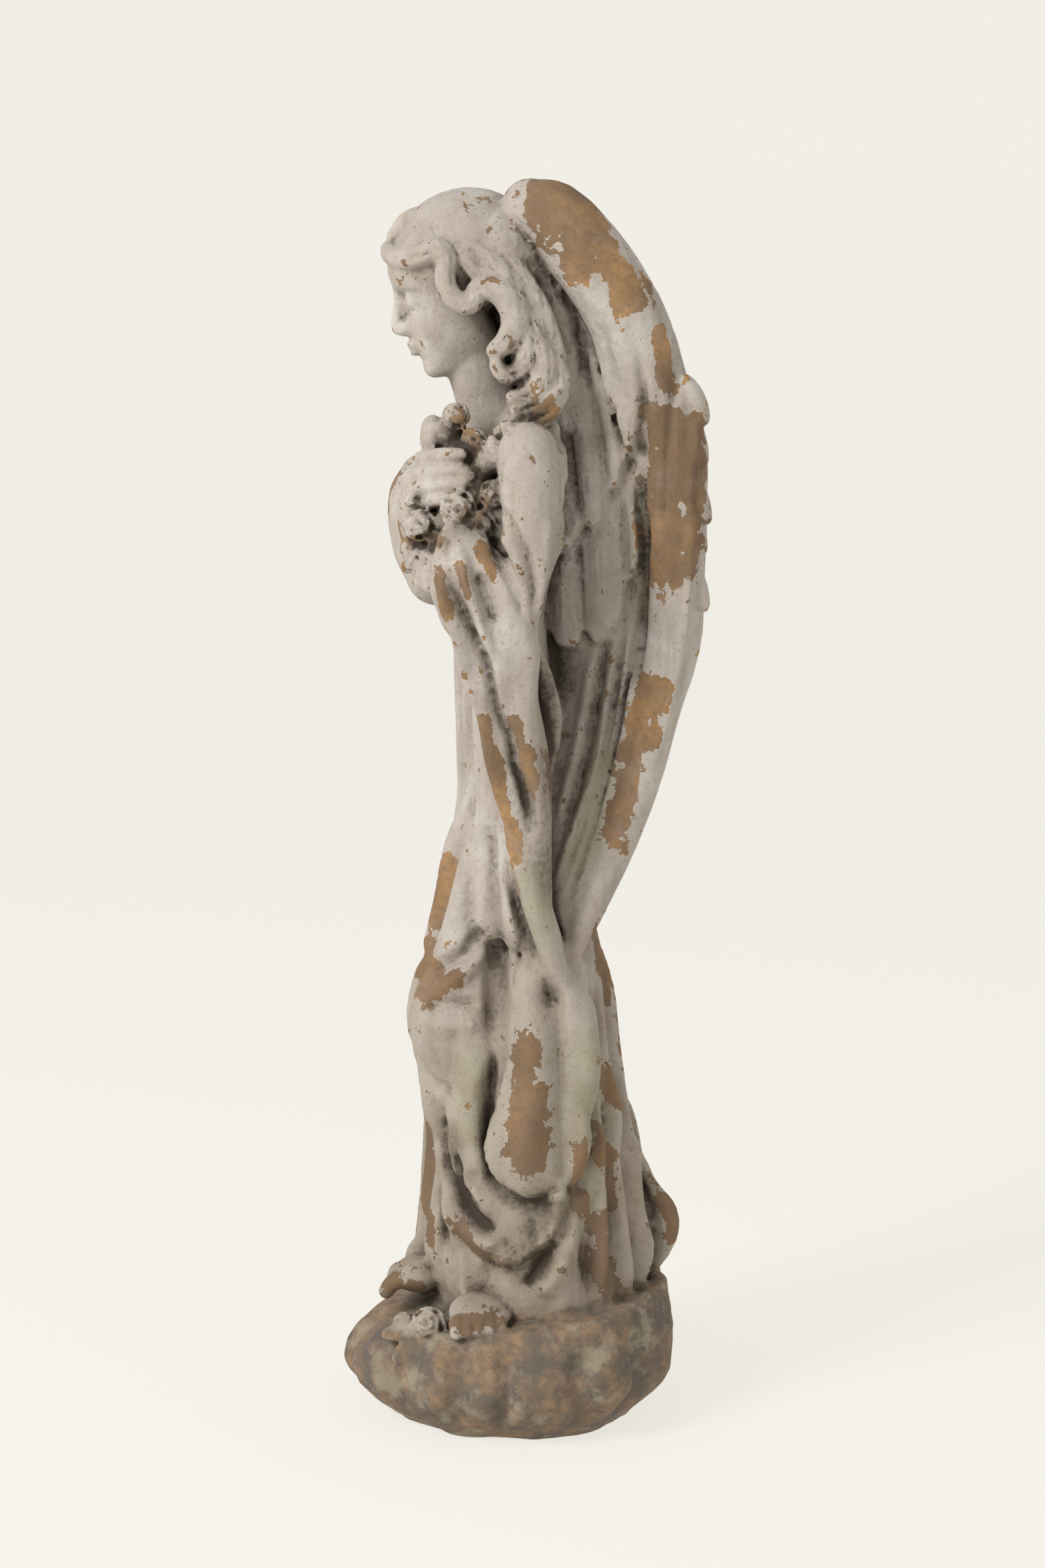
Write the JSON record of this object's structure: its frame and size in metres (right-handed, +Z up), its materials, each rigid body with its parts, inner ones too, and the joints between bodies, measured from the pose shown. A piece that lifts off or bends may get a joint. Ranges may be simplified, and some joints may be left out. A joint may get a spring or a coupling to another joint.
{
  "type": "angel statue",
  "caption": "Garden statue of a standing robed angel with folded wings, bowed head and a bouquet, cast in one with its rock base and painted, the paint worn.",
  "frame": {"origin": "middle of the flat underside of the rock base", "axes": "+Z up, the figure faces -Y and its left hand side is +X"},
  "size_m": [0.2245, 0.2256, 0.8464],
  "materials": {
    "weathered_paint": "matt off-white paint over brown fired clay, weathered and flaked"
  },
  "bodies": {
    "root": {"angel_statue": "weathered_paint"}
  },
  "joints": []
}
